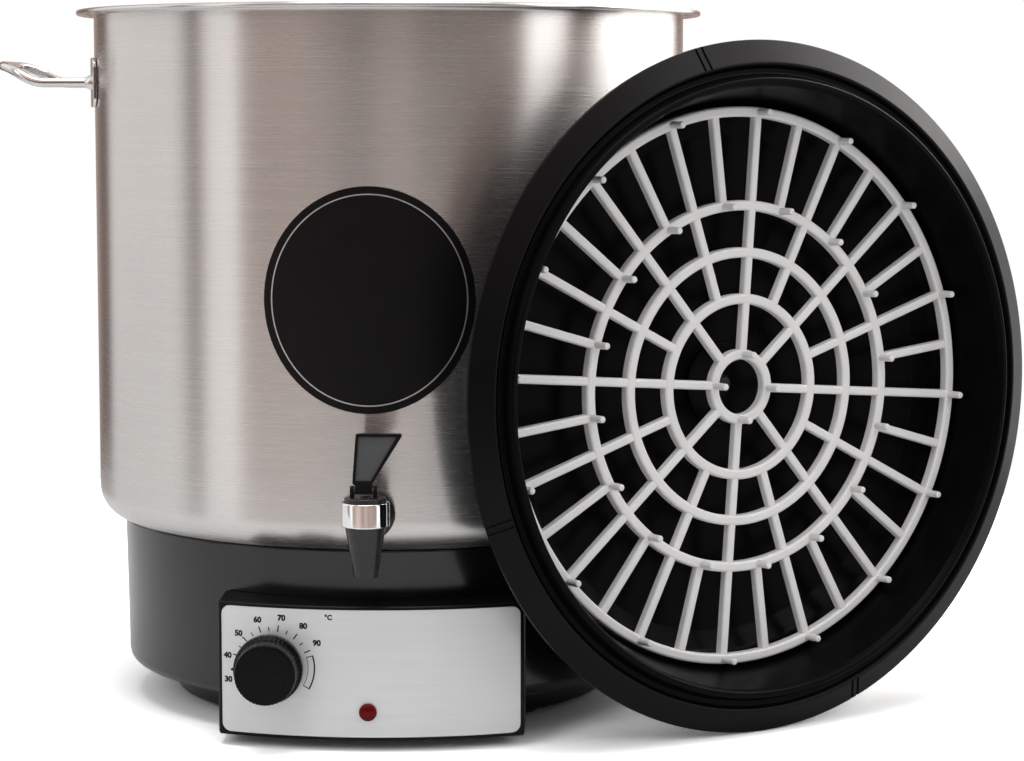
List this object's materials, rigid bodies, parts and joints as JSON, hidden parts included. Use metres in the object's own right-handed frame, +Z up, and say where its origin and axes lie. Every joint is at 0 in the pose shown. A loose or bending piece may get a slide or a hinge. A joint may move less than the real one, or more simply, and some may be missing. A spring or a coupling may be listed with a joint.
{
  "type": "electric preserving cooker",
  "caption": "Large steel preserving pot on a heated black base, with a dispensing tap, a curved control panel with a dial, side handles, and a lid leaning beside it with a round rack inside.",
  "frame": {"origin": "under the pot's axis, on the surface that the cooker's feet stand on", "axes": "+Z up along the pot's axis, -Y towards the tap and the control panel, +X towards the side where the lid leans"},
  "size_m": [0.6124, 0.4213, 0.4085],
  "materials": {
    "brushed_steel": "brushed stainless steel",
    "polished_steel": "polished stainless steel",
    "chrome": "bright chrome plating",
    "aluminium": "plain rolled sheet",
    "zinc_plated_steel": "zinc plated",
    "copper": "plain copper",
    "heater_sheath": "dark oxidised steel sheath",
    "black_enamel": "glossy black",
    "black_plastic": "satin black",
    "gloss_black_plastic": "glossy black",
    "lid_plastic": "satin black",
    "brushed_silver": "brushed along its length",
    "red_lens": "dark red, clear",
    "white_plastic": "plain off-white",
    "black_rubber": "matt black",
    "pale_insulator": "pale moulded insulator"
  },
  "bodies": {
    "cooker": {"pot": "brushed_steel", "handle_left": "polished_steel", "handle_right": "polished_steel", "handle_plate_left": "polished_steel", "handle_plate_right": "polished_steel", "base_shell": "black_enamel", "floor_pan": "zinc_plated_steel", "foot_1": "black_rubber", "foot_2": "black_rubber", "foot_3": "black_rubber", "foot_4": "black_rubber", "stud_1": "zinc_plated_steel", "stud_2": "zinc_plated_steel", "stud_3": "zinc_plated_steel", "reflector_nut_1": "zinc_plated_steel", "reflector_nut_2": "zinc_plated_steel", "reflector_nut_3": "zinc_plated_steel", "pan_nut_1": "zinc_plated_steel", "pan_nut_2": "zinc_plated_steel", "pan_nut_3": "zinc_plated_steel", "heat_spreader": "aluminium", "heating_element": "heater_sheath", "heat_reflector": "aluminium", "thermal_cutout": "polished_steel", "terminal_block": "pale_insulator", "cable_gland": "black_plastic", "gland_nut": "black_plastic", "control_housing": "black_plastic", "control_panel": "brushed_silver", "housing_screw_1": "zinc_plated_steel", "housing_screw_2": "zinc_plated_steel", "thermostat_body": "pale_insulator", "thermostat_nut": "zinc_plated_steel", "sensor_bulb": "copper", "bulb_clip": "zinc_plated_steel", "capillary_tube": "copper", "pilot_lens": "red_lens", "pilot_lamp": "pale_insulator", "tap_body": "black_plastic", "tap_washer": "black_rubber", "tap_seal": "black_rubber", "tap_nut": "black_plastic", "tap_collar": "chrome", "tap_bonnet": "black_plastic", "tap_pin": "zinc_plated_steel", "tap_spring": "polished_steel"},
    "knob": {"control_knob": "gloss_black_plastic", "thermostat_shaft": "zinc_plated_steel"},
    "lever": {"tap_lever": "black_plastic"},
    "plunger": {"tap_plunger": "black_rubber"},
    "lid": {"lid_shell": "lid_plastic", "lid_knob": "gloss_black_plastic", "lid_screw": "zinc_plated_steel"},
    "rack": {"rack": "white_plastic"}
  },
  "joints": [
    {"name": "knob_turn", "type": "hinge", "parent": "cooker", "child": "knob", "pos_m": [-0.0552, -0.19, 0.046], "axis": [0, 1, 0], "range_deg": [-45, 205]},
    {"name": "tap_lever_pull", "type": "hinge", "parent": "cooker", "child": "lever", "pos_m": [0, -0.205, 0.1478], "axis": [1, 0, 0], "range_deg": [0, 60], "stiffness_Nm_per_rad": 0.02, "springref_deg": -5.73},
    {"name": "tap_plunger_lift", "type": "slide", "parent": "cooker", "child": "plunger", "axis": [0, 0, 1], "range_m": [0, 0.003], "deforming": ["tap_spring"]},
    {"name": "lid_lift", "type": "slide", "parent": "cooker", "child": "lid", "axis": [0.3934, -0.5876, 0.7071], "range_m": [0, 0.4]},
    {"name": "rack_out", "type": "slide", "parent": "lid", "child": "rack", "axis": [0.5562, -0.8308, 0.0192], "range_m": [0, 0.2]}
  ],
  "couplings": [
    {"joint": "tap_lever_pull", "follows": "tap_plunger_lift", "rad_per_m": 349}
  ]
}
